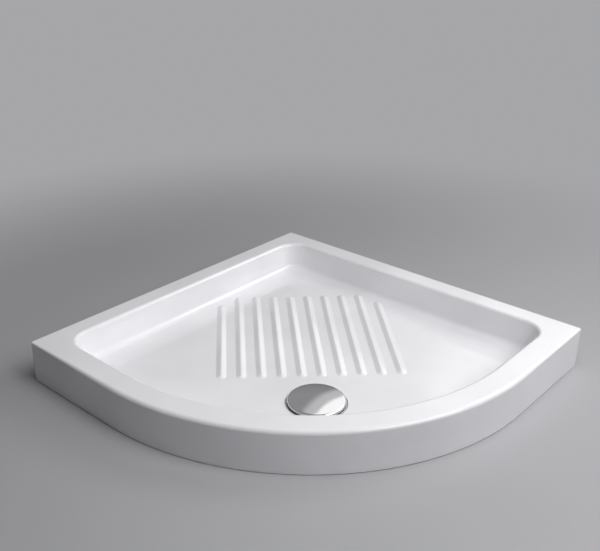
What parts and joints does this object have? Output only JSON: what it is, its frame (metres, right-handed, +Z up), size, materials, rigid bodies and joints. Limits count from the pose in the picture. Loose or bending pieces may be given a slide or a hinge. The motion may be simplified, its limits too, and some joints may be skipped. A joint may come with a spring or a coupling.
{
  "type": "shower tray",
  "caption": "Quarter-round ceramic corner shower tray with a flat rim, a sunken ribbed basin and a floor waste under a domed lift-off cover.",
  "frame": {"origin": "on the room floor, under the middle of the tray's square plan", "axes": "+Z up; the room's walls stand on the -X and +Y sides; the curved front faces +X and -Y"},
  "size_m": [0.8, 0.8, 0.09],
  "materials": {
    "glazed_fireclay": "white glaze, glossy",
    "stainless_steel": "pressed, satin",
    "screw_steel": "bright",
    "insert_brass": "turned",
    "seal_rubber": "matt black",
    "body_plastic": "moulded grey polypropylene",
    "trap_plastic": "moulded white polypropylene",
    "catcher_plastic": "moulded grey polypropylene",
    "carrier_plastic": "moulded dark polypropylene",
    "cover_chrome": "polished chrome plate on brass"
  },
  "bodies": {
    "tray": {"tray_body": "glazed_fireclay", "waste_flange": "stainless_steel", "flange_screws": "screw_steel", "screw_inserts": "insert_brass", "upper_seal": "seal_rubber", "lower_seal": "seal_rubber", "waste_body": "body_plastic", "outlet_seal": "seal_rubber"},
    "bell": {"trap_bell": "trap_plastic"},
    "catcher": {"hair_catcher": "catcher_plastic"},
    "cover": {"cover_carrier": "carrier_plastic", "cover_cap": "cover_chrome"}
  },
  "joints": [
    {"name": "bell_lift", "type": "slide", "parent": "tray", "child": "bell", "axis": [0, 0, 1], "range_m": [0, 0.12]},
    {"name": "catcher_lift", "type": "slide", "parent": "bell", "child": "catcher", "axis": [0, 0, 1], "range_m": [0, 0.12]},
    {"name": "cover_lift", "type": "slide", "parent": "catcher", "child": "cover", "axis": [0, 0, 1], "range_m": [0, 0.12]}
  ]
}
